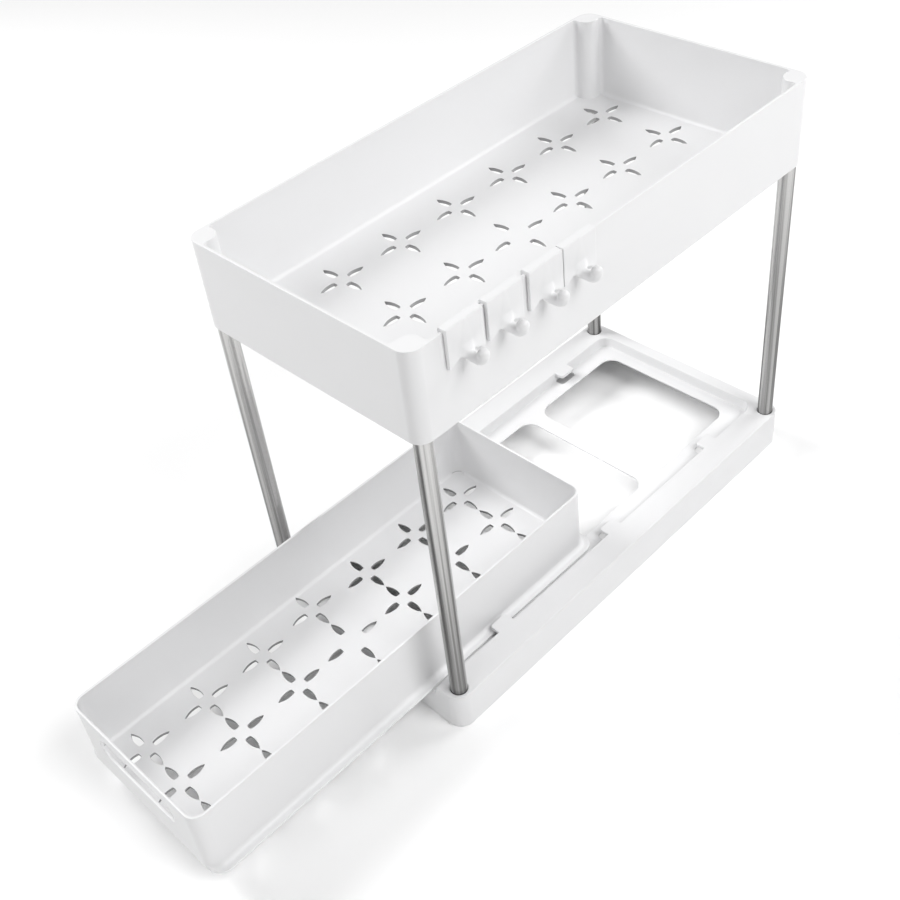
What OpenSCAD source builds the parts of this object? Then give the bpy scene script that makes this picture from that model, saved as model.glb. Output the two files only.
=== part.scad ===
// Under sink organizer: a perforated tray on four steel posts over a base with a sliding drawer.
// Frame: X is the width, with the hooks at +X. Y is the depth, and the drawer pulls out towards -Y.
// Z is up. The origin is the middle of the base's footprint, on the floor.

/* [Overall] */
// Height of the tray's rim above the floor
total_h = 342; // [300:1:400]
// Outer length of the tray, front to back
tray_l = 400; // [376:1:436]
// Outer width of the tray
tray_w = 204; // [194:1:226]

/* [Base frame] */
// Overhang of the base past each end of the tray
overhang_l = 2; // [0:0.5:10]
// Overhang of the base past each side of the tray
overhang_w = 1.5; // [0:0.5:3]
// Height of the base's rails above the floor
base_h = 34; // [28:0.5:45]
// Outer corner radius of the base
base_corner_r = 12; // [6:0.5:12]
// Wall thickness of the moulded base
base_wall = 2.4; // [1.8:0.1:3.5]
// Depth of the drawer channel below the rail tops
channel_depth = 7.8; // [5:0.1:8]
// Thickness of the channel floor
plate_t = 1.4; // [1.2:0.1:2.4]
// Width of the flat top of each side rail
rail_w = 21.5; // [20:0.5:26]
// Width of the flat top of the rear rail
rear_rail_w = 11; // [9:0.5:20]
// Run of the sloping step from rail top to channel floor
step_run = 2.6; // [1:0.1:3]
// Radius of the channel's rear corners, on its floor
channel_r = 8; // [2:0.5:14]
// Width of the channel floor left beside the cut-outs
plate_side = 15.4; // [12:0.2:30]
// Width of the channel floor left behind the rear cut-out
plate_rear = 11.9; // [10:0.1:20]
// Length of the front and rear cut-outs
end_window_l = 100; // [70:1:104]
// Width of the crossbars between the cut-outs
crossbar_w = 14.5; // [12:0.5:20]
// Corner radius of the cut-outs
window_r = 12; // [4:0.5:20]

/* [Retaining tabs] */
// Length of each tab along the rail
tab_l = 16.5; // [10:0.5:24]
// Reach of each tab over the channel
tab_reach = 9; // [7.5:0.5:11]
// Thickness of each tab
tab_t = 2.8; // [2:0.1:4]
// Corner radius at the free end of each tab
tab_r = 3; // [1:0.5:4]
// Spacing of the tabs along the rail
tab_pitch = 128; // [110:1:140]

/* [Posts] */
// Outer diameter of the steel posts
post_d = 12.5; // [10:0.25:13]
// Wall thickness of the steel posts
post_wall = 1; // [0.6:0.1:2]
// Inset of the post centres from the tray's long outer faces
post_inset_x = 8; // [7.6:0.1:11]
// Inset of the post centres from the tray's end faces
post_inset_y = 8.7; // [8:0.1:11]
// Depth that each post reaches up into the tray
post_grip = 42; // [25:1:60]
// Thickness of the floor in each base socket
socket_floor = 3; // [2:0.5:6]
// Wall thickness around each base socket
socket_wall = 3; // [2.8:0.1:4]
// Gap all round a post in its socket
post_fit = 0.1; // [0.05:0.01:0.2]
// Chamfer round the mouth of each base socket
socket_chamfer = 0.6; // [0.2:0.1:1]

/* [Upper tray] */
// Height of the tray from floor underside to rim
tray_h = 68.4; // [50:0.2:90]
// Wall thickness of the tray
tray_wall = 2.2; // [1.6:0.1:3]
// Floor thickness of the tray
tray_floor = 3; // [2:0.1:5]
// Outer corner radius of the tray
tray_corner_r = 10.5; // [8:0.1:11]
// Outer diameter of the corner columns
column_d = 18; // [16:0.1:20]
// Radius of the fillets between the columns and the walls
column_fillet_r = 3; // [1:0.5:4]
// Radius of the fillet at the foot of the tray's walls
tray_fillet_r = 3; // [1:0.5:6]

/* [Drawer] */
// Gap between the flange and each side of the channel
flange_gap = 2.9; // [1.5:0.1:4]
// Gap between the flange and the rear of the channel when the drawer is shut
rear_gap = 10.4; // [4:0.2:30]
// Height of the drawer from underside to rim
drawer_h = 59.8; // [40:0.2:90]
// Wall thickness of the drawer
drawer_wall = 2; // [1.6:0.1:3]
// Floor thickness of the drawer
drawer_floor = 2.6; // [2:0.1:3]
// Outer corner radius of the drawer
drawer_corner_r = 10; // [6:0.5:14]
// Reach of the flange beyond the drawer's side walls
flange_reach = 6.5; // [5:0.1:6.5]
// Reach of the flange behind the drawer's rear wall
flange_rear = 5; // [2:0.5:8]
// Thickness of the flange
flange_t = 2.4; // [1.8:0.1:2.6]
// Corner radius of the flange
flange_corner_r = 12; // [6:0.5:16]
// Radius of the fillet between flange and walls
flange_fillet_r = 4; // [1:0.5:5]
// Radius of the fillet at the foot of the walls inside
drawer_fillet_r = 3; // [1:0.5:6]
// Distance that the drawer stands out of the base
drawer_out = 195; // [0:1:230]

/* [Handle slot] */
// Length of the handle slot
handle_w = 84; // [60:1:100]
// Height of the handle slot
handle_h = 22; // [16:0.5:24]
// Distance from the drawer's rim to the slot
handle_drop = 11; // [8:0.5:16]

/* [Drain slots] */
// Greatest width of one petal slot
petal_w = 5.3; // [3:0.1:6]
// Distance from a star's centre to the inner end of its petals
star_gap = 6; // [5:0.1:8]
// The same distance in the wide star at the middle
wide_star_gap = 11; // [9:0.1:12]
// Columns of stars along each floor
star_cols = 7; // [3:2:7]
// Web between neighbouring stars across the drawer
slot_bridge = 2.1; // [1.5:0.1:4]
// Bare edge of the tray's floor beside its outer rows
tray_edge_x = 18; // [12:0.5:24]
// Bare edge of the tray's floor beyond its end columns
tray_edge_y = 8.5; // [5:0.5:12]
// Bare edge of the drawer's floor beside its outer rows
drawer_edge_x = 6.5; // [6.5:0.1:9]
// Bare edge of the drawer's floor beyond its end columns
drawer_edge_y = 5.3; // [4:0.1:10]

/* [Hooks] */
// Width of the hook's plate along the rim
hook_w = 30; // [20:0.5:30]
// Height of the hook's plate
hook_plate_h = 28.4; // [22:0.2:40]
// Thickness of the hook's plate
hook_t = 2.5; // [2:0.1:3]
// Length of the clip leg inside the rim
hook_leg_h = 15; // [8:0.5:24]
// Thickness of the clip leg
hook_leg_t = 1.5; // [1.2:0.1:2.5]
// Gap between the hook and each face of the tray's wall
hook_fit = 0.3; // [0.2:0.05:0.5]
// Diameter of the hook's arm
arm_d = 7; // [5:0.2:8]
// Straight reach of the arm before it curls up
arm_reach = 7.6; // [5:0.2:14]
// Radius of the arm's upward curl, on its centre line
curl_r = 5; // [4.6:0.1:9]
// Straight rise of the arm above the curl
tip_rise = 0.4; // [0.2:0.1:8]
// Diameter of the ball at the arm's tip
tip_d = 7.6; // [5:0.1:9]
// Rounding of the clip's outer edges along the rim
clip_r = 1; // [0.4:0.1:1.2]
// Rise of the arch in the plate's lower edge
arch_rise = 4.2; // [2:0.1:6]
// Width of the flat feet at both ends of the arch
arch_foot = 1; // [0.5:0.5:4]
// Width of the ridge on the plate, at its foot
ridge_w = 12.5; // [8:0.5:16]
// Reach of the ridge from the plate, at its foot
ridge_reach = 3; // [1:0.1:3.5]
// Distances of the hooks along the rim, from the tray's front face
hook_at = [42.2, 75.6, 111.6, 142.4];

/* [Hidden] */
$fn = 64;
plastic = [0.96, 0.96, 0.97];
steel = [0.72, 0.72, 0.73];
eps = 0.5;

// Outline of the base
base_l = tray_l + 2 * overhang_l;
base_w = tray_w + 2 * overhang_w;

// Levels above the floor
plate_top = base_h - channel_depth;
plate_bottom = plate_top - plate_t;
rim_z = total_h;
tray_z = rim_z - tray_h;
post_l = tray_z + post_grip - socket_floor;

// Places of the posts
post_x = tray_w / 2 - post_inset_x;
post_y = tray_l / 2 - post_inset_y;
socket_d = post_d + 2 * post_fit;
boss_d = socket_d + 2 * socket_wall;

// Edges of the drawer channel at rail level
channel_half_w = base_w / 2 - rail_w;
channel_back = base_l / 2 - rear_rail_w;
floor_half_w = channel_half_w - step_run;
floor_back = channel_back - step_run;
tab_slot_gap = 1;

// Cut-outs in the channel floor
window_w = 2 * (floor_half_w - plate_side);
middle_window_l = 2 * (floor_back - plate_rear - end_window_l - crossbar_w);

// Sizes and places of the drawer, which follows the channel
flange_w = 2 * (floor_half_w - flange_gap);
flange_l = base_l / 2 + floor_back - rear_gap;
drawer_w = flange_w - 2 * flange_reach;
drawer_l = flange_l - flange_rear;
drawer_front = -base_l / 2 - drawer_out;
drawer_mid = drawer_front + drawer_l / 2;

// Grids of stars, which follow the two floors
star_rows = 3;
drawer_row_pitch = (drawer_w - 2 * drawer_wall - 2 * drawer_edge_x + slot_bridge) / star_rows;
star_reach = (drawer_row_pitch - slot_bridge) / 2;
tray_row_pitch = star_pitch(tray_w / 2 - tray_wall - tray_edge_x, star_rows);
tray_col_pitch = star_pitch(tray_l / 2 - tray_wall - tray_edge_y, star_cols);
drawer_col_pitch = star_pitch(drawer_l / 2 - drawer_wall - drawer_edge_y, star_cols);
side_star_shift = wide_star_gap - star_gap;

// Petal outline: two side arcs that meet at the tip, and one arc for the blunt inner end
petal_l = star_reach - star_gap;
petal_belly = 0.34;
petal_nose = petal_l * (1 - petal_belly);
petal_side_r = (pow(petal_nose, 2) + pow(petal_w / 2, 2)) / petal_w;
petal_end_r = petal_l * 0.55;

// Spacing that brings the outermost petals of a grid to a given distance from its middle
function star_pitch(half_span, count) = 2 * (half_span - star_reach) / (count - 1);

module rounded_rect(w, l, r) {
    square([w - 2 * r, l], center = true);
    square([w, l - 2 * r], center = true);
    for (sx = [-1, 1], sy = [-1, 1])
        translate([sx * (w / 2 - r), sy * (l / 2 - r)]) circle(r);
}

// Outline to cut along an inner corner, which leaves a concave fillet
module fillet_profile(r) {
    difference() {
        translate([-eps, -eps]) square(r + eps);
        translate([r, r]) circle(r);
    }
}

// One petal slot that points along +X, with its blunt end at x = 0
module petal() {
    intersection() {
        translate([petal_l * petal_belly, petal_w / 2 - petal_side_r]) circle(petal_side_r);
        translate([petal_l * petal_belly, petal_side_r - petal_w / 2]) circle(petal_side_r);
        translate([petal_end_r, 0]) circle(petal_end_r);
    }
}

// Four petals round a point, with their blunt ends at a given distance from it
module star(gap) {
    for (turn = [0:90:270])
        rotate(turn) translate([gap, 0]) petal();
}

// A grid of stars, with the wide star at its middle
module star_grid(row_pitch, col_pitch, side_shift) {
    for (row = [0:star_rows - 1], col = [0:star_cols - 1]) {
        across = row - (star_rows - 1) / 2;
        along = col - (star_cols - 1) / 2;
        shift = along == 0 ? across * side_shift : 0;
        translate([across * row_pitch + shift, along * col_pitch])
            star(along == 0 && across == 0 ? wide_star_gap : star_gap);
    }
}

// A trough with sloping sides and a sloping end, open at the front
module square_channel() {
    top = channel_half_w + step_run * eps / channel_depth;
    back_top = channel_back + step_run * eps / channel_depth;
    intersection() {
        translate([0, base_l, plate_top]) rotate([90, 0, 0])
            linear_extrude(2 * base_l)
                polygon([
                    [-floor_half_w, 0],
                    [floor_half_w, 0],
                    [top, channel_depth + eps],
                    [-top, channel_depth + eps]
                ]);
        translate([-base_w, 0, plate_top]) rotate([90, 0, 90])
            linear_extrude(2 * base_w)
                polygon([
                    [-base_l, 0],
                    [floor_back, 0],
                    [back_top, channel_depth + eps],
                    [-base_l, channel_depth + eps]
                ]);
    }
}

// The drawer channel: the trough with its two rear corners rounded
module channel_space() {
    corner_x = floor_half_w - channel_r;
    corner_y = floor_back - channel_r;
    cut_h = channel_depth + eps;
    difference() {
        square_channel();
        for (side = [0, 1])
            mirror([side, 0, 0]) translate([corner_x, corner_y, plate_top - eps]) cube(base_h);
    }
    for (side = [-1, 1])
        translate([side * corner_x, corner_y, plate_top])
            cylinder(r1 = channel_r, r2 = channel_r + step_run * cut_h / channel_depth, h = cut_h);
}

// Everything hollow under the base: below the channel floor, and up inside the rails
module underside_space() {
    inner_w = base_w - 2 * base_wall;
    inner_l = base_l - 2 * base_wall;
    inner_r = base_corner_r - base_wall;
    translate([0, 0, -eps])
        linear_extrude(plate_bottom + eps) rounded_rect(inner_w, inner_l, inner_r);
    translate([0, 0, -eps])
        linear_extrude(base_h - base_wall + eps)
            difference() {
                rounded_rect(inner_w, inner_l, inner_r);
                translate([0, channel_back + base_wall - base_l])
                    square([2 * (channel_half_w + base_wall), 2 * base_l], center = true);
            }
}

module tab() {
    linear_extrude(tab_t) {
        translate([-tab_reach + tab_r, -tab_l / 2]) square([tab_reach - tab_r + eps, tab_l]);
        translate([-tab_reach, -tab_l / 2 + tab_r]) square([tab_reach, tab_l - 2 * tab_r]);
        for (side = [-1, 1])
            translate([tab_r - tab_reach, side * (tab_l / 2 - tab_r)]) circle(tab_r);
    }
}

// The opening below each tab
module tab_slot() {
    w = tab_reach + tab_slot_gap;
    l = tab_l + 2 * tab_slot_gap;
    linear_extrude(base_h - tab_t) {
        translate([tab_r - w, -l / 2]) square([w - tab_r, l]);
        translate([-w, tab_r - l / 2]) square([w, l - 2 * tab_r]);
        for (side = [-1, 1])
            translate([tab_r - w, side * (l / 2 - tab_r)]) circle(tab_r);
    }
}

// Puts its children at the inner edge of each rail, with +X towards that rail
module at_tabs() {
    for (side = [0, 1], step = [-1:1])
        mirror([side, 0, 0]) translate([channel_half_w, step * tab_pitch, 0]) children();
}

module windows() {
    end_y = (middle_window_l + end_window_l) / 2 + crossbar_w;
    rounded_rect(window_w, middle_window_l, window_r);
    for (side = [-1, 1])
        translate([0, side * end_y]) rounded_rect(window_w, end_window_l, window_r);
}

// Puts its children at each post, with +X and +Y towards the nearest outer corner
module at_posts() {
    for (mx = [0, 1], my = [0, 1])
        mirror([mx, 0, 0]) mirror([0, my, 0]) translate([post_x, post_y, 0]) children();
}

// A post socket with a chamfered mouth at the rail top
module socket_bore() {
    translate([0, 0, socket_floor]) cylinder(d = socket_d, h = base_h);
    translate([0, 0, base_h - socket_chamfer])
        cylinder(
            d1 = socket_d,
            d2 = socket_d + 2 * (socket_chamfer + eps),
            h = socket_chamfer + eps
        );
}

module base_frame() {
    color(plastic)
    difference() {
        union() {
            difference() {
                linear_extrude(base_h) rounded_rect(base_w, base_l, base_corner_r);
                channel_space();
                underside_space();
                translate([0, 0, -eps]) linear_extrude(base_h) windows();
            }
            difference() {
                linear_extrude(base_h) intersection() {
                    rounded_rect(base_w, base_l, base_corner_r);
                    at_posts() circle(d = boss_d);
                }
                channel_space();
            }
            translate([0, 0, base_h - tab_t]) at_tabs() tab();
        }
        at_tabs() tab_slot();
        at_posts() socket_bore();
    }
}

// A fillet along the foot of a box's inner walls, as long as the straight walls
module foot_fillets(w, l, run_x, run_y, r) {
    for (side = [0, 1]) {
        mirror([side, 0, 0]) translate([-w / 2, run_y / 2, 0]) rotate([90, 0, 0])
            linear_extrude(run_y) fillet_profile(r);
        mirror([0, side, 0]) translate([-run_x / 2, -l / 2, 0]) rotate([90, 0, 90])
            linear_extrude(run_x) fillet_profile(r);
    }
}

// Fillet between a column at the origin and a wall whose inner face lies along Y at x = gap
module column_fillet(gap) {
    r = column_fillet_r;
    run = sqrt(pow(column_d / 2 + r, 2) - pow(gap - r, 2));
    difference() {
        polygon([[0, 0], [gap + eps, 0], [gap + eps, -run], [gap - r, -run]]);
        translate([gap - r, -run]) circle(r);
    }
}

// Outline of the corner columns, with fillets to both walls
module columns() {
    intersection() {
        rounded_rect(tray_w, tray_l, tray_corner_r);
        at_posts() {
            circle(d = column_d);
            column_fillet(post_inset_x - tray_wall);
            rotate(90) mirror([0, 1, 0]) column_fillet(post_inset_y - tray_wall);
        }
    }
}

module upper_tray() {
    inner_w = tray_w - 2 * tray_wall;
    inner_l = tray_l - 2 * tray_wall;
    color(plastic)
    translate([0, 0, tray_z])
    difference() {
        union() {
            difference() {
                linear_extrude(tray_h) rounded_rect(tray_w, tray_l, tray_corner_r);
                translate([0, 0, tray_floor])
                    linear_extrude(tray_h) rounded_rect(inner_w, inner_l, tray_corner_r - tray_wall);
            }
            linear_extrude(tray_h) columns();
            translate([0, 0, tray_floor])
                foot_fillets(inner_w, inner_l, 2 * post_x, 2 * post_y, tray_fillet_r);
        }
        translate([0, 0, -eps])
            linear_extrude(tray_floor + 2 * eps) star_grid(tray_row_pitch, tray_col_pitch, 0);
        translate([0, 0, -eps]) at_posts() cylinder(d = socket_d, h = post_grip + eps);
    }
}

// The drawer's flange with a fillet up the outside of the walls, cut to the flange's outline
module drawer_foot() {
    arc_x = drawer_w / 2 - drawer_corner_r;
    arc_y = drawer_l / 2 - drawer_corner_r;
    reach = flange_fillet_r + eps;
    intersection() {
        translate([0, flange_rear / 2, 0])
            linear_extrude(drawer_h) rounded_rect(flange_w, flange_l, flange_corner_r);
        union() {
            linear_extrude(flange_t) square([2 * flange_w, 2 * flange_l], center = true);
            for (side = [0, 1]) {
                mirror([side, 0, 0]) translate([drawer_w / 2, arc_y, flange_t]) rotate([90, 0, 0])
                    linear_extrude(2 * arc_y) fillet_profile(flange_fillet_r);
                mirror([side, 0, 0]) translate([arc_x, arc_y, flange_t])
                    rotate_extrude() translate([drawer_corner_r, 0]) fillet_profile(flange_fillet_r);
                mirror([side, 0, 0]) translate([arc_x, -arc_y, flange_t])
                    rotate_extrude() translate([drawer_corner_r, 0]) fillet_profile(flange_fillet_r);
            }
            translate([-arc_x, drawer_l / 2, flange_t]) rotate([90, 0, 90])
                linear_extrude(2 * arc_x) fillet_profile(flange_fillet_r);
        }
    }
}

module handle_slot() {
    straight = handle_w - handle_h;
    z = drawer_h - handle_drop - handle_h / 2;
    translate([0, -drawer_l / 2 + drawer_corner_r / 2, z]) rotate([90, 0, 0])
        linear_extrude(drawer_corner_r) {
            square([straight, handle_h], center = true);
            for (side = [-1, 1]) translate([side * straight / 2, 0]) circle(d = handle_h);
        }
}

module drawer() {
    inner_w = drawer_w - 2 * drawer_wall;
    inner_l = drawer_l - 2 * drawer_wall;
    inner_r = drawer_corner_r - drawer_wall;
    color(plastic)
    translate([0, drawer_mid, plate_top])
    difference() {
        union() {
            difference() {
                union() {
                    linear_extrude(drawer_h) rounded_rect(drawer_w, drawer_l, drawer_corner_r);
                    drawer_foot();
                }
                translate([0, 0, drawer_floor])
                    linear_extrude(drawer_h) rounded_rect(inner_w, inner_l, inner_r);
            }
            translate([0, 0, drawer_floor])
                foot_fillets(inner_w, inner_l, inner_w - 2 * inner_r, inner_l - 2 * inner_r,
                    drawer_fillet_r);
        }
        translate([0, 0, -eps])
            linear_extrude(drawer_floor + 2 * eps)
                star_grid(drawer_row_pitch, drawer_col_pitch, side_star_shift);
        handle_slot();
    }
}

module post(sx, sy) {
    color(steel)
    translate([sx * post_x, sy * post_y, socket_floor])
    difference() {
        cylinder(d = post_d, h = post_l);
        translate([0, 0, -eps]) cylinder(d = post_d - 2 * post_wall, h = post_l + 2 * eps);
    }
}

// The clip seen along the rim: the plate outside, the short leg inside and the bridge over the rim
module clip_profile() {
    slot_w = tray_wall + 2 * hook_fit;
    clip_w = hook_leg_t + slot_w + hook_t;
    difference() {
        translate([hook_t - clip_w / 2, hook_t - hook_plate_h / 2])
            rounded_rect(clip_w, hook_plate_h, clip_r);
        translate([-slot_w, -hook_plate_h]) square([slot_w, hook_plate_h]);
        translate([-clip_w, -hook_plate_h]) square([clip_w, hook_plate_h - hook_leg_h]);
    }
}

// The circle that cuts the arch in the plate's lower edge
module arch_profile() {
    half_span = hook_w / 2 - arch_foot;
    arch_r = (pow(half_span, 2) + pow(arch_rise, 2)) / (2 * arch_rise);
    translate([0, arch_rise - arch_r]) circle(arch_r);
}

// A soft ridge down the middle of the plate, which widens towards the arm
module ridge() {
    foot_r = (pow(ridge_w / 2, 2) + pow(ridge_reach, 2)) / (2 * ridge_reach);
    ridge_h = hook_plate_h - arch_rise;
    intersection() {
        translate([hook_t + ridge_reach - foot_r, 0, arch_rise])
            cylinder(r1 = foot_r, r2 = foot_r - ridge_reach, h = ridge_h);
        translate([0, -hook_w / 2, 0]) cube([hook_w, hook_w, hook_plate_h]);
    }
}

// A round arm that reaches out from the plate and curls up to a ball
module arm() {
    curl_x = hook_t + arm_reach;
    rotate([0, 90, 0]) cylinder(d = arm_d, h = curl_x);
    translate([curl_x, 0, curl_r]) rotate([90, 0, 0]) rotate(-90)
        rotate_extrude(angle = 90) translate([curl_r, 0]) circle(d = arm_d);
    translate([curl_x + curl_r, 0, curl_r]) cylinder(d = arm_d, h = tip_rise);
    translate([curl_x + curl_r, 0, curl_r + tip_rise]) sphere(d = tip_d);
}

module hook(index) {
    outer_x = tray_w / 2 + hook_fit;
    foot_z = rim_z + hook_t - hook_plate_h;
    color(plastic)
    translate([outer_x, hook_at[index] - tray_l / 2, foot_z]) {
        difference() {
            translate([0, hook_w / 2, hook_plate_h - hook_t]) rotate([90, 0, 0])
                linear_extrude(hook_w) clip_profile();
            translate([-hook_t, 0, 0]) rotate([90, 0, 90])
                linear_extrude(3 * hook_t) arch_profile();
        }
        ridge();
        translate([0, 0, arm_d / 2]) arm();
    }
}

base_frame();
upper_tray();
drawer();
post(-1, -1);  // post_front_left
post(1, -1);  // post_front_right
post(-1, 1);  // post_back_left
post(1, 1);  // post_back_right
hook(0);  // hook_1
hook(1);  // hook_2
hook(2);  // hook_3
hook(3);  // hook_4
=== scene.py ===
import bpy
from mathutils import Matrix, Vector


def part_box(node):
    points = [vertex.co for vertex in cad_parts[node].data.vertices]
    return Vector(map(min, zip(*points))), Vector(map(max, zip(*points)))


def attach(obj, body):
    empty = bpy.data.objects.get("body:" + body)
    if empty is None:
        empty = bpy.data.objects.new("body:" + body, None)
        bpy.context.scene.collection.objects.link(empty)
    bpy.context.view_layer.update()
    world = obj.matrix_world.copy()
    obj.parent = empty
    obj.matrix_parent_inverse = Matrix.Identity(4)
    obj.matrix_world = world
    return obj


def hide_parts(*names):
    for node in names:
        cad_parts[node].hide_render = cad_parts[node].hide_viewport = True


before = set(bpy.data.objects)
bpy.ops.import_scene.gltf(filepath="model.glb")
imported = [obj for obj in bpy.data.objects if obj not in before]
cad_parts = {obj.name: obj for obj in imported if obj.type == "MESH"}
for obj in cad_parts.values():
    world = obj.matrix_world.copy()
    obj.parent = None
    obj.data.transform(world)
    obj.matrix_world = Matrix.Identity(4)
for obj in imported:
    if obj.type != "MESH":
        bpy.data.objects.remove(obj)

"""Looks of an under sink organizer: white moulded tray, base and drawer, steel posts and clip-on hooks.

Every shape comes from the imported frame, in metres. Each moulded part is the frame's own part with its
sharp edges rounded as a mould leaves them. The posts are modelled afresh in the same places. The hooks
are softened copies of the frame's first hook, with a flatter ridge above the arm.
"""

import logging
import math
from dataclasses import dataclass
from enum import Enum

import bmesh
import bpy
from mathutils import Matrix, Vector
from mathutils.bvhtree import BVHTree

LOG = logging.getLogger("organizer")
MM = 0.001

# Corners nearer than this are one corner, and faces flatter to each other than this are one face.
MERGE_DISTANCE = 1e-6
FLAT_ANGLE = math.radians(0.5)

# A bevel's profile that is a quarter of a circle.
ROUND_PROFILE = 0.5

# The neutral strength of the even normals, in which each face counts by its area.
EVEN_WEIGHT = 50

# The face attribute that marks the slot walls which get painted shade, and the heights over a part's foot
# between which they lie.
PAINTED_SLOT_SHADE_MASK = "painted_slot_shade_mask"
SLOTTED_FLOOR = (-0.1 * MM, 3.0 * MM)

# Each noise is its features per metre and its octaves. These are moulded plastic's tone, gloss and texture.
CLOUD_NOISE = (9.0, 3.0)
SMEAR_NOISE = (35.0, 4.0)
GRAIN_NOISE = (2600.0, 2.0)

# The tube's streaks, and its painted reflection bands round it, and how far both are drawn out along it.
STREAK_NOISE = (1500.0, 4.0)
REFLECTION_BAND_NOISE = (300.0, 3.0)
DRAWN_OUT = (1.0, 1.0, 0.006)
REFLECTION_BAND_EDGES = (0.4, 0.6)
STEEL_ROUGHNESS = (0.14, 0.3)

# The heights between which the tube's tone goes from the painted shade at its foot to its full tone.
FOOT_SHADE_HEIGHTS = (0.05, 0.27)


class Slot(Enum):
    """Material slots of the record."""

    PLASTIC = "white_plastic"
    HOOK = "hook_plastic"
    STEEL = "steel_tube"


def group_socket(group: bpy.types.NodeTree, name: str, kind: str, out: bool = False) -> None:
    """Adds one named socket to a node group.

    Args:
        group: The node group.
        name: The socket's name.
        kind: Float or Color.
        out: True for an output.
    """
    group.interface.new_socket(name, in_out="OUTPUT" if out else "INPUT", socket_type=f"NodeSocket{kind}")


class NodeBench:
    """A small helper that places and links nodes in one tree."""

    def __init__(self, tree: bpy.types.NodeTree) -> None:
        """Keeps the tree that the nodes go in."""
        self.tree = tree

    def add(self, kind: str, **settings: object) -> bpy.types.Node:
        """Adds a node.

        Args:
            kind: The node's type name, without the ShaderNode that a shader node's starts with.
            **settings: Attributes of the node.

        Returns:
            The new node.
        """
        full = kind if kind.startswith("NodeGroup") else f"ShaderNode{kind}"
        node = self.tree.nodes.new(full)
        for key, value in settings.items():
            setattr(node, key, value)
        return node

    def link(self, source: bpy.types.NodeSocket, target: bpy.types.NodeSocket) -> None:
        """Links two sockets."""
        self.tree.links.new(source, target)

    def noise(self, vector: bpy.types.NodeSocket, scale: float, detail: float) -> bpy.types.NodeSocket:
        """Adds a noise texture.

        Args:
            vector: Coordinates.
            scale: Features per metre.
            detail: Octaves.

        Returns:
            The noise value's socket.
        """
        node = self.add("TexNoise")
        node.inputs["Scale"].default_value = scale
        node.inputs["Detail"].default_value = detail
        self.link(vector, node.inputs["Vector"])
        return node.outputs["Fac"]

    def spread(
        self,
        value: bpy.types.NodeSocket,
        low: bpy.types.NodeSocket | float,
        high: bpy.types.NodeSocket | float,
        start: float = 0.0,
        end: float = 1.0,
    ) -> bpy.types.NodeSocket:
        """Maps a range onto another, whose ends may be sockets or numbers.

        Args:
            value: The value to map.
            low: Result at the start and below it.
            high: Result at the end and above it.
            start: Where the first range starts.
            end: Where the first range ends.

        Returns:
            The mapped value's socket.
        """
        node = self.add("MapRange")
        node.inputs["From Min"].default_value = start
        node.inputs["From Max"].default_value = end
        for name, amount in (("To Min", low), ("To Max", high)):
            if isinstance(amount, bpy.types.NodeSocket):
                self.link(amount, node.inputs[name])
            else:
                node.inputs[name].default_value = amount
        self.link(value, node.inputs["Value"])
        return node.outputs["Result"]


def moulded_skin_group() -> bpy.types.NodeTree:
    """Builds the shared group for moulded plastic: cloudy tone, uneven gloss, fine texture, and painted
    shade on the slot walls.

    Returns:
        The node group.
    """
    group = bpy.data.node_groups.new("moulded_skin", "ShaderNodeTree")
    group_socket(group, "Colour", "Color")
    group_socket(group, "Cloud Colour", "Color")
    group_socket(group, "Gloss Low", "Float")
    group_socket(group, "Gloss High", "Float")
    group_socket(group, "Painted Slot Shade", "Float")
    group_socket(group, "Colour", "Color", out=True)
    group_socket(group, "Roughness", "Float", out=True)
    group_socket(group, "Height", "Float", out=True)
    bench = NodeBench(group)
    given = bench.add("NodeGroupInput")
    result = bench.add("NodeGroupOutput")
    place = bench.add("TexCoord").outputs["Object"]
    cloud = bench.noise(place, *CLOUD_NOISE)
    mix = bench.add("Mix", data_type="RGBA")
    bench.link(cloud, mix.inputs["Factor"])
    bench.link(given.outputs["Colour"], mix.inputs["A"])
    bench.link(given.outputs["Cloud Colour"], mix.inputs["B"])
    # Slot walls get their colour scaled down by the slot shade input: painted shade in the slots.
    inside = bench.add("Attribute", attribute_name=PAINTED_SLOT_SHADE_MASK)
    shade = bench.add("VectorMath", operation="SCALE")
    bench.link(mix.outputs["Result"], shade.inputs[0])
    bench.link(bench.spread(inside.outputs["Fac"], 1.0, given.outputs["Painted Slot Shade"]), shade.inputs["Scale"])
    bench.link(shade.outputs["Vector"], result.inputs["Colour"])
    smear = bench.noise(place, *SMEAR_NOISE)
    gloss = bench.spread(smear, given.outputs["Gloss Low"], given.outputs["Gloss High"])
    bench.link(gloss, result.inputs["Roughness"])
    grain = bench.noise(place, *GRAIN_NOISE)
    bench.link(grain, result.inputs["Height"])
    return group


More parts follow.
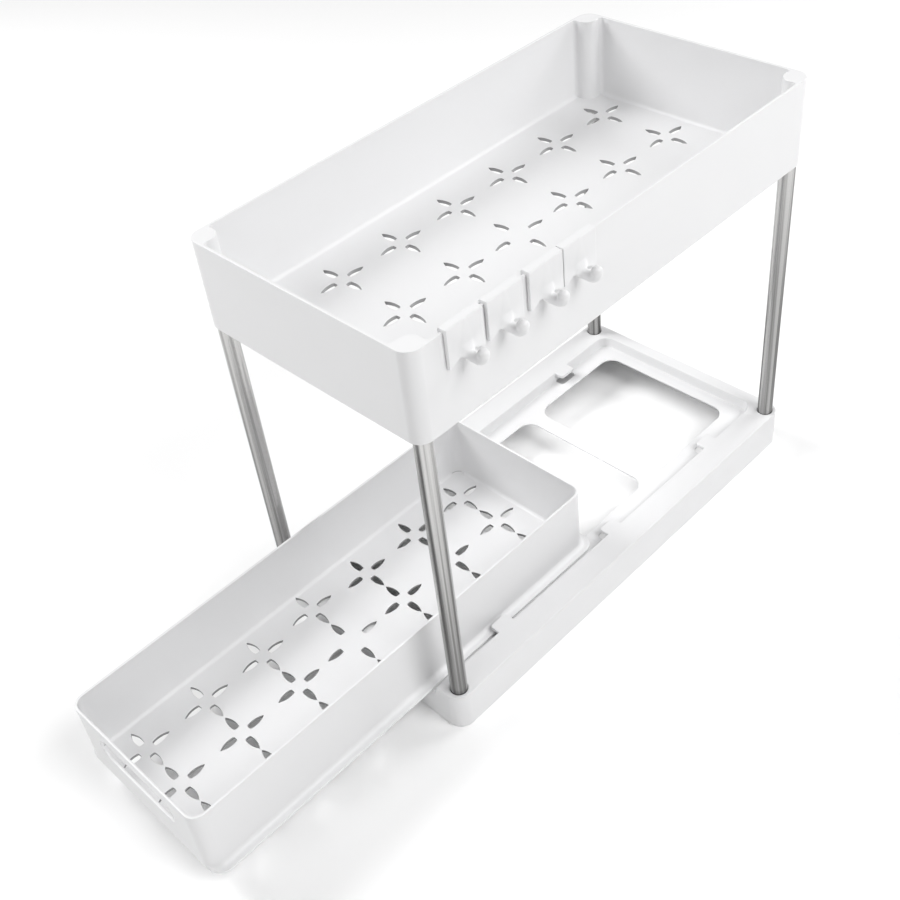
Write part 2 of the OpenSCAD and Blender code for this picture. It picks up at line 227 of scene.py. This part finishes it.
def drawn_tube_group() -> bpy.types.NodeTree:
    """Builds the shared group for drawn steel tube: painted reflection bands, fine streaks along the tube,
    and painted shade towards its foot.

    Returns:
        The node group.
    """
    group = bpy.data.node_groups.new("drawn_tube", "ShaderNodeTree")
    group_socket(group, "Light", "Color")
    group_socket(group, "Reflection Dark", "Color")
    group_socket(group, "Painted Foot Shade", "Float")
    group_socket(group, "Colour", "Color", out=True)
    group_socket(group, "Roughness", "Float", out=True)
    group_socket(group, "Height", "Float", out=True)
    bench = NodeBench(group)
    given = bench.add("NodeGroupInput")
    result = bench.add("NodeGroupOutput")
    place = bench.add("TexCoord").outputs["Object"]
    stretch = bench.add("Mapping")
    stretch.inputs["Scale"].default_value = DRAWN_OUT
    bench.link(place, stretch.inputs["Vector"])
    streak = bench.noise(stretch.outputs["Vector"], *STREAK_NOISE)
    reflection_band = bench.noise(stretch.outputs["Vector"], *REFLECTION_BAND_NOISE)
    # Random bands between the light and dark tone: painted reflections on the steel.
    mix = bench.add("Mix", data_type="RGBA")
    bench.link(bench.spread(reflection_band, 0.0, 1.0, *REFLECTION_BAND_EDGES), mix.inputs["Factor"])
    bench.link(given.outputs["Light"], mix.inputs["A"])
    bench.link(given.outputs["Reflection Dark"], mix.inputs["B"])
    height = bench.add("SeparateXYZ")
    bench.link(place, height.inputs["Vector"])
    # Darker towards the foot: painted shade.
    foot = bench.spread(height.outputs["Z"], given.outputs["Painted Foot Shade"], 1.0, *FOOT_SHADE_HEIGHTS)
    shade = bench.add("VectorMath", operation="SCALE")
    bench.link(mix.outputs["Result"], shade.inputs[0])
    bench.link(foot, shade.inputs["Scale"])
    bench.link(shade.outputs["Vector"], result.inputs["Colour"])
    bench.link(bench.spread(streak, *STEEL_ROUGHNESS), result.inputs["Roughness"])
    bench.link(streak, result.inputs["Height"])
    return group


@dataclass(frozen=True)
class PlasticFinish:
    """Satin moulded plastic."""

    name: str = "white_moulding"
    colour: tuple[float, float, float] = (0.785, 0.785, 0.79)
    cloud: tuple[float, float, float] = (0.765, 0.765, 0.771)
    gloss: tuple[float, float] = (0.3, 0.42)
    # How far the slot walls' colour is darkened: painted shade.
    painted_slot_shade: float = 0.4
    texture_depth: float = 0.06
    texture_height: float = 0.05 * MM
    ior: float = 1.49

    def build(self, skin: bpy.types.NodeTree) -> bpy.types.Material:
        """Makes the material.

        Args:
            skin: The shared moulded skin group.

        Returns:
            The material.
        """
        material = bpy.data.materials.new(self.name)
        material.use_nodes = True
        bench = NodeBench(material.node_tree)
        shader = material.node_tree.nodes["Principled BSDF"]
        surface = bench.add("Group", node_tree=skin)
        surface.inputs["Colour"].default_value = (*self.colour, 1.0)
        surface.inputs["Cloud Colour"].default_value = (*self.cloud, 1.0)
        surface.inputs["Gloss Low"].default_value = self.gloss[0]
        surface.inputs["Gloss High"].default_value = self.gloss[1]
        surface.inputs["Painted Slot Shade"].default_value = self.painted_slot_shade
        bump = bench.add("Bump")
        bump.inputs["Strength"].default_value = self.texture_depth
        bump.inputs["Distance"].default_value = self.texture_height
        bench.link(surface.outputs["Height"], bump.inputs["Height"])
        bench.link(bump.outputs["Normal"], shader.inputs["Normal"])
        bench.link(surface.outputs["Colour"], shader.inputs["Base Color"])
        bench.link(surface.outputs["Roughness"], shader.inputs["Roughness"])
        shader.inputs["IOR"].default_value = self.ior
        return material


@dataclass(frozen=True)
class SteelFinish:
    """Drawn stainless tube."""

    name: str = "drawn_steel"
    # The two tones of the painted reflection bands.
    light: tuple[float, float, float] = (0.58, 0.576, 0.57)
    dark: tuple[float, float, float] = (0.16, 0.158, 0.156)
    # How dark the tube is painted at its foot: painted shade.
    painted_foot_shade: float = 0.68
    streak_depth: float = 0.5
    streak_height: float = 0.06 * MM

    def build(self, tube: bpy.types.NodeTree) -> bpy.types.Material:
        """Makes the material.

        Args:
            tube: The shared drawn tube group.

        Returns:
            The material.
        """
        material = bpy.data.materials.new(self.name)
        material.use_nodes = True
        bench = NodeBench(material.node_tree)
        shader = material.node_tree.nodes["Principled BSDF"]
        surface = bench.add("Group", node_tree=tube)
        surface.inputs["Light"].default_value = (*self.light, 1.0)
        surface.inputs["Reflection Dark"].default_value = (*self.dark, 1.0)
        surface.inputs["Painted Foot Shade"].default_value = self.painted_foot_shade
        bump = bench.add("Bump")
        bump.inputs["Strength"].default_value = self.streak_depth
        bump.inputs["Distance"].default_value = self.streak_height
        bench.link(surface.outputs["Height"], bump.inputs["Height"])
        bench.link(bump.outputs["Normal"], shader.inputs["Normal"])
        bench.link(surface.outputs["Colour"], shader.inputs["Base Color"])
        bench.link(surface.outputs["Roughness"], shader.inputs["Roughness"])
        shader.inputs["Metallic"].default_value = 1.0
        return material


def mesh_object(name: str, bm: bmesh.types.BMesh) -> bpy.types.Object:
    """Turns a bmesh into a smooth-shaded object at the origin, and frees the bmesh.

    Args:
        name: The object's name.
        bm: The shape, in metres, in the frame's own axes.

    Returns:
        The new object.
    """
    for face in bm.faces:
        face.smooth = True
    mesh = bpy.data.meshes.new(name)
    bm.to_mesh(mesh)
    bm.free()
    obj = bpy.data.objects.new(name, mesh)
    bpy.context.scene.collection.objects.link(obj)
    return obj


def merged_copy(node: str) -> bmesh.types.BMesh:
    """Copies a CAD node's mesh with its doubled corners merged and its flat faces whole.

    Args:
        node: The CAD node.

    Returns:
        The closed copy.
    """
    bm = bmesh.new()
    bm.from_mesh(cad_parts[node].data)
    bmesh.ops.remove_doubles(bm, verts=bm.verts, dist=MERGE_DISTANCE)
    bmesh.ops.dissolve_limit(bm, angle_limit=FLAT_ANGLE, verts=bm.verts, edges=bm.edges)
    bmesh.ops.connect_verts_concave(bm, faces=[face for face in bm.faces if len(face.verts) > 4])
    return bm


def even_normals(obj: bpy.types.Object) -> None:
    """Lets the large faces set the shading, so that flat walls stay flat beside rounded edges."""
    modifier = obj.modifiers.new("even_normals", "WEIGHTED_NORMAL")
    modifier.weight = EVEN_WEIGHT
    modifier.keep_sharp = False


def hand_over(obj: bpy.types.Object, body: str, node: str, material: bpy.types.Material) -> None:
    """Dresses a finished piece and gives it to the frame in place of a CAD node.

    Args:
        obj: The piece.
        body: The CAD body that it moves with.
        node: The CAD node that it stands for.
        material: Its finish.
    """
    obj.data.materials.clear()
    obj.data.materials.append(material)
    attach(obj, body)
    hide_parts(node)
    LOG.info("%s: %d faces, rides on %s", obj.name, len(obj.data.polygons), body)


@dataclass
class MouldedPart:
    """A moulded part: the frame's own shape with every sharp edge rounded."""

    node: str
    body: str
    name: str
    slot: Slot = Slot.PLASTIC
    edge_radius: float = 0.45 * MM
    segments: int = 2
    sharp_angle: float = math.radians(32)
    stray_limit: float = 0.25 * MM
    slotted: tuple[float, float] | None = None
    slot_inset: float = 8.0 * MM
    upright_limit: float = 0.5

    def shape(self) -> bmesh.types.BMesh:
        """Copies the node's mesh, merges it and rounds its sharp edges.

        Returns:
            The rounded shape.
        """
        bm = merged_copy(self.node)
        surface = BVHTree.FromBMesh(bm)
        sharp = [edge for edge in bm.edges if edge.calc_face_angle(0.0) > self.sharp_angle]
        bmesh.ops.bevel(
            bm,
            geom=sharp,
            offset=self.edge_radius,
            offset_type="OFFSET",
            segments=self.segments,
            profile=ROUND_PROFILE,
            affect="EDGES",
            clamp_overlap=False,
            material=-1,
        )
        for vert in bm.verts:
            nearest, _, _, distance = surface.find_nearest(vert.co)
            if distance > self.stray_limit:
                vert.co = nearest
        self.mark_painted_slot_shade(bm)
        return bm

    def mark_painted_slot_shade(self, bm: bmesh.types.BMesh) -> None:
        """Marks the walls of the slots in the part's floor, whose colour is darkened as painted shade.

        Args:
            bm: The part's shape.
        """
        shade_mask = bm.faces.layers.float.new(PAINTED_SLOT_SHADE_MASK)
        if self.slotted is None:
            return
        low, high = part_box(self.node)
        for face in bm.faces:
            face.normal_update()
            middle = face.calc_center_median()
            upright = abs(face.normal.z) < self.upright_limit
            in_floor = self.slotted[0] <= middle.z - low.z <= self.slotted[1]
            inside = all(low[i] + self.slot_inset < middle[i] < high[i] - self.slot_inset for i in (0, 1))
            face[shade_mask] = 1.0 if upright and in_floor and inside else 0.0

    def build(self, material: bpy.types.Material) -> bpy.types.Object:
        """Makes the piece and hands it to the frame.

        Args:
            material: Its finish.

        Returns:
            The piece.
        """
        obj = mesh_object(self.name, self.shape())
        even_normals(obj)
        hand_over(obj, self.body, self.node, material)
        return obj


@dataclass
class TubePost:
    """A straight steel tube with softly rounded ends."""

    node: str
    name: str
    wall: float = 1.0 * MM
    edge_radius: float = 0.3 * MM
    edge_segments: int = 3
    sides: int = 96

    def shape(self) -> bmesh.types.BMesh:
        """Spins the tube's wall section about its axis.

        Returns:
            The tube's shape.
        """
        low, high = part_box(self.node)
        middle = (low + high) / 2
        radius = (high.x - low.x) / 2
        bm = bmesh.new()
        corners = [
            (radius - self.wall, low.z),
            (radius, low.z),
            (radius, high.z),
            (radius - self.wall, high.z),
        ]
        verts = [bm.verts.new((middle.x + across, middle.y, z)) for across, z in corners]
        for start, end in zip(verts, verts[1:] + verts[:1]):
            bm.edges.new((start, end))
        bmesh.ops.bevel(
            bm,
            geom=verts,
            offset=self.edge_radius,
            offset_type="OFFSET",
            segments=self.edge_segments,
            profile=ROUND_PROFILE,
            affect="VERTICES",
            material=-1,
        )
        bmesh.ops.spin(
            bm,
            geom=bm.edges[:],
            cent=(middle.x, middle.y, 0.0),
            axis=(0.0, 0.0, 1.0),
            angle=2 * math.pi,
            steps=self.sides,
            use_merge=True,
        )
        bmesh.ops.remove_doubles(bm, verts=bm.verts, dist=MERGE_DISTANCE)
        bmesh.ops.recalc_face_normals(bm, faces=bm.faces)
        return bm

    def build(self, material: bpy.types.Material) -> bpy.types.Object:
        """Makes the post and hands it to the frame.

        Args:
            material: Its finish.

        Returns:
            The piece.
        """
        obj = mesh_object(self.name, self.shape())
        even_normals(obj)
        hand_over(obj, "frame", self.node, material)
        return obj


@dataclass
class HookSet:
    """The clip-on hooks: one softly rounded moulding, repeated at each hook's place."""

    count: int = 4
    voxel: float = 0.4 * MM
    smoothing: float = 0.5
    passes: int = 7
    root_passes: int = 14
    root_reach: float = 8.0 * MM
    root_share: float = 0.36
    root_height: float = 4.0 * MM
    side_strip: float = 1.0 * MM
    crisp_depth: float = 1.1 * MM
    ridge_share: float = 0.12
    ridge_reach: float = 3.6 * MM
    ridge_start: float = 8.0 * MM
    ridge_blend: float = 4.0 * MM

    def moulding(self) -> bmesh.types.BMesh:
        """Rounds the first hook as a mould leaves it, and runs its arm and ridge softly into its plate.

        Returns:
            The rounded shape, in the first hook's place.
        """
        block = mesh_object("hook_block", merged_copy("hook_1"))
        even = block.modifiers.new("even_mesh", "REMESH")
        even.mode = "VOXEL"
        even.voxel_size = self.voxel
        solid = block.evaluated_get(bpy.context.evaluated_depsgraph_get())
        bm = bmesh.new()
        bm.from_mesh(solid.to_mesh())
        solid.to_mesh_clear()
        bpy.data.objects.remove(block)
        low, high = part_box("hook_1")
        root_x = low.x + self.root_share * (high.x - low.x)
        root = Vector((root_x, (low.y + high.y) / 2, low.z + self.root_height))
        near_root = [vert for vert in bm.verts if (vert.co - root).length < self.root_reach]
        wall_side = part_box("upper_tray")[1].x + self.crisp_depth
        seen = [vert for vert in bm.verts if vert.co.x > wall_side or vert.co.z > high.z - self.crisp_depth]
        self.soften(seen, bm, self.passes)
        self.soften(near_root, bm, self.root_passes)
        self.flatten_ridge(bm, low)
        return bm

    def flatten_ridge(self, bm: bmesh.types.BMesh, low: Vector) -> None:
        """Lowers the ridge above the arm, which the photograph barely shows.

        Args:
            bm: The hook's shape.
            low: The low corner of the hook's box.
        """
        plate = max(vert.co.x for vert in bm.verts if vert.co.y < low.y + self.side_strip)
        for vert in bm.verts:
            out = vert.co.x - plate
            if 0.0 < out < self.ridge_reach:
                rise = (vert.co.z - low.z - self.ridge_start) / self.ridge_blend
                vert.co.x = plate + out * (1.0 - (1.0 - self.ridge_share) * min(max(rise, 0.0), 1.0))

    def soften(self, verts: list[bmesh.types.BMVert], bm: bmesh.types.BMesh, passes: int) -> None:
        """Evens out some of the vertices.

        Args:
            verts: The vertices that may move.
            bm: Their mesh.
            passes: How many times.
        """
        for _ in range(passes):
            bmesh.ops.smooth_vert(
                bm, verts=verts, factor=self.smoothing, use_axis_x=True, use_axis_y=True, use_axis_z=True
            )

    def build(self, material: bpy.types.Material) -> None:
        """Makes every hook and hands each to the frame.

        Args:
            material: Their finish.
        """
        first = self.moulding()
        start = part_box("hook_1")[0]
        for number in range(1, self.count + 1):
            shape = first.copy()
            bmesh.ops.translate(shape, verts=shape.verts, vec=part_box(f"hook_{number}")[0] - start)
            obj = mesh_object(f"rim_hook_{number}", shape)
            hand_over(obj, f"hook_{number}", f"hook_{number}", material)
        first.free()


@dataclass(frozen=True)
class Softbox:
    """One square studio light, aimed at the middle of the object.

    Its azimuth counts from +X towards +Y, and its elevation from the floor, both in degrees.
    """

    name: str
    azimuth: float
    elevation: float
    power: float
    distance: float = 2.2
    side: float = 1.15
    aim: tuple[float, float, float] = (0.0, -0.05, 0.2)

    def build(self) -> None:
        """Adds the light."""
        data = bpy.data.lights.new(self.name, "AREA")
        data.shape = "SQUARE"
        data.size = self.side
        data.energy = self.power
        light = bpy.data.objects.new(self.name, data)
        bpy.context.scene.collection.objects.link(light)
        turn, rise = math.radians(self.azimuth), math.radians(self.elevation)
        away = Vector((math.cos(rise) * math.cos(turn), math.cos(rise) * math.sin(turn), math.sin(rise)))
        light.location = Vector(self.aim) + self.distance * away
        light.rotation_euler = (-away).to_track_quat("-Z", "Y").to_euler()


@dataclass(frozen=True)
class Studio:
    """The floor, the lights and the camera."""

    camera_place: tuple[float, float, float] = (0.5165, -0.5382, 0.7534)
    camera_aim: tuple[float, float, float] = (0.0088, -0.1002, 0.1700)
    camera_roll: float = math.radians(-7.48)
    focal_mm: float = 49.77
    shift: tuple[float, float] = (0.0067, -0.0240)
    sensor_width: float = 36.0
    clip_start: float = 0.01
    floor_half: float = 6.0
    floor_grey: float = 0.97
    floor_roughness: float = 0.8
    world_light: float = 0.035
    lights: tuple[Softbox, ...] = (
        Softbox("left_box", -156.0, 40.0, 41.6),
        Softbox("rear_box", 75.0, 30.0, 22.9),
        Softbox("right_box", 10.0, 45.0, 31.2),
        Softbox("front_box", -72.0, 28.0, 10.4),
    )

    def add_camera(self) -> None:
        """Adds the camera at the photograph's viewing angle."""
        data = bpy.data.cameras.new("camera")
        data.sensor_width = self.sensor_width
        data.lens = self.focal_mm
        data.shift_x, data.shift_y = self.shift
        data.clip_start = self.clip_start
        camera = bpy.data.objects.new("camera", data)
        bpy.context.scene.collection.objects.link(camera)
        line = Vector(self.camera_aim) - Vector(self.camera_place)
        turn = line.to_track_quat("-Z", "Y").to_matrix() @ Matrix.Rotation(self.camera_roll, 3, "Z")
        camera.matrix_world = Matrix.Translation(self.camera_place) @ turn.to_4x4()
        bpy.context.scene.camera = camera

    def add_floor(self) -> None:
        """Adds the pale floor."""
        bm = bmesh.new()
        bmesh.ops.create_grid(bm, x_segments=1, y_segments=1, size=self.floor_half)
        floor = mesh_object("floor", bm)
        material = bpy.data.materials.new("pale_floor")
        material.use_nodes = True
        shader = material.node_tree.nodes["Principled BSDF"]
        shader.inputs["Base Color"].default_value = (self.floor_grey,) * 3 + (1.0,)
        shader.inputs["Roughness"].default_value = self.floor_roughness
        floor.data.materials.append(material)

    def add_world(self) -> None:
        """Adds the even light of a white room."""
        world = bpy.data.worlds.new("white_room")
        world.use_nodes = True
        background = world.node_tree.nodes["Background"]
        background.inputs["Color"].default_value = (1.0, 1.0, 1.0, 1.0)
        background.inputs["Strength"].default_value = self.world_light
        bpy.context.scene.world = world

    def build(self) -> None:
        """Adds everything that isn't part of the object."""
        self.add_camera()
        self.add_floor()
        self.add_world()
        for light in self.lights:
            light.build()
        bpy.context.scene.view_settings.view_transform = "Standard"


def main() -> None:
    """Builds the organizer's looks and the studio round it."""
    logging.basicConfig(level=logging.INFO)
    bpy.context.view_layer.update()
    Studio().build()
    plastic = PlasticFinish().build(moulded_skin_group())
    steel = SteelFinish().build(drawn_tube_group())
    for part in (
        MouldedPart("base_frame", "frame", "base"),
        MouldedPart("upper_tray", "frame", "tray", slotted=SLOTTED_FLOOR),
        MouldedPart("drawer", "drawer", "sliding_drawer", slotted=SLOTTED_FLOOR),
    ):
        part.build(plastic)
    for place in ("front_left", "front_right", "back_left", "back_right"):
        TubePost(f"post_{place}", f"tube_{place}").build(steel)
    HookSet().build(plastic)


if __name__ == "__main__":
    main()
